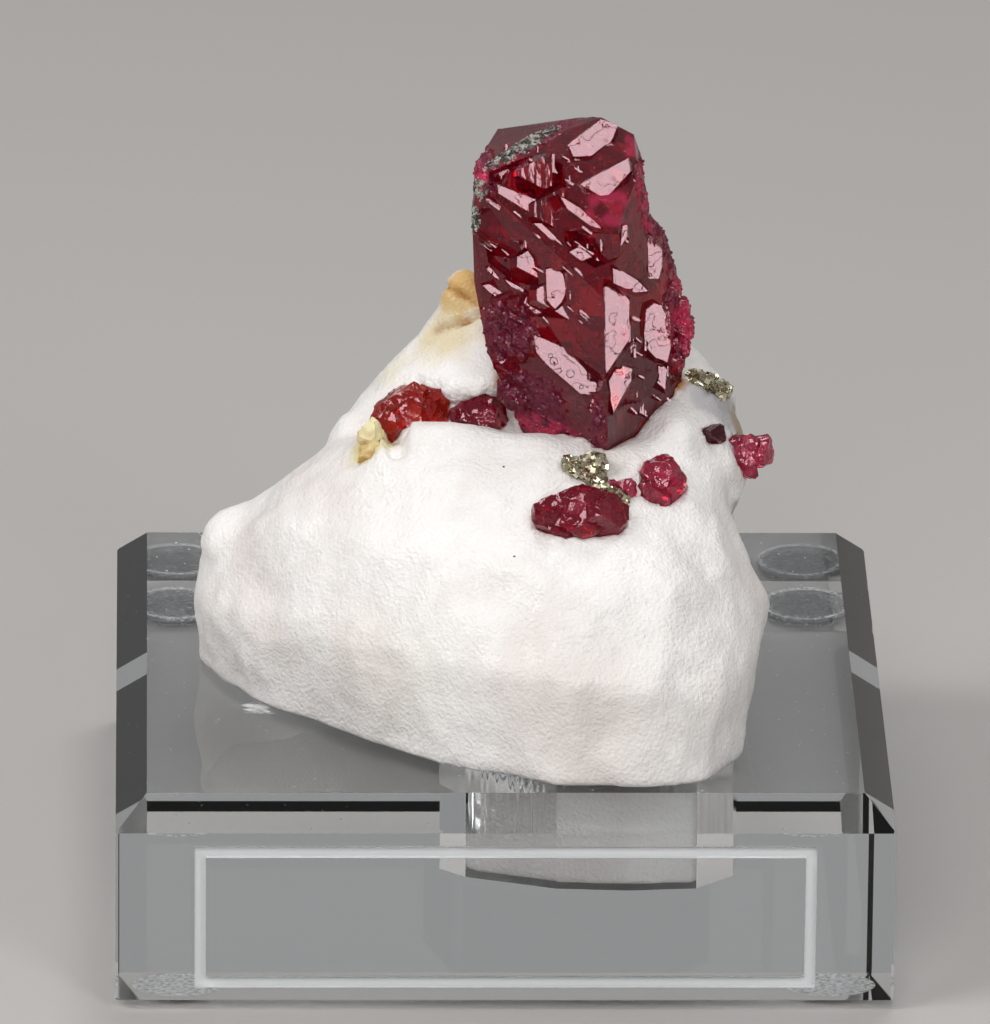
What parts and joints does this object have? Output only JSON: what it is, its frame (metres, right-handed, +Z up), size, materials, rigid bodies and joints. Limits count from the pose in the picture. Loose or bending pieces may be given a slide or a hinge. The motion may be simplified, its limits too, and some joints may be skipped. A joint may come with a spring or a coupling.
{
  "type": "spinel specimen",
  "caption": "Dark-red stepped spinel crystals on a white marble lump with small metallic grains, standing in a recess of a clear square display block on low feet.",
  "frame": {"origin": "middle of the display block's footprint, on the surface it stands on", "axes": "+X to the right in the display view, +Y away from the viewer, +Z up"},
  "size_m": [0.07, 0.07, 0.0727],
  "materials": {
    "acrylic": "clear polished acrylic, engraved border frosted",
    "clear_foot": "clear soft polyurethane, slightly cloudy",
    "marble": "sugary white marble with yellow and grey stains",
    "spinel_dark": "dark red transparent crystal with bright flat growth faces",
    "spinel_red": "deep red transparent crystal",
    "spinel_pink": "pink-red transparent crystal",
    "pyrite": "pale brassy metallic grains, slightly tarnished",
    "yellow_mineral": "ochre and pale yellow grain"
  },
  "bodies": {
    "root": {"base_block": "acrylic", "foot_front_left": "clear_foot", "foot_front_right": "clear_foot", "foot_back_left": "clear_foot", "foot_back_right": "clear_foot", "marble_matrix": "marble", "large_spinel": "spinel_dark", "left_spinel": "spinel_red", "left_inner_spinel": "spinel_red", "front_spinel": "spinel_red", "tiny_pink_spinel": "spinel_pink", "right_pink_spinel": "spinel_pink", "far_right_spinel": "spinel_pink", "dark_right_spinel": "spinel_dark", "pyrite_front": "pyrite", "pyrite_lower": "pyrite", "pyrite_right": "pyrite", "yellow_grain": "yellow_mineral"}
  },
  "joints": []
}
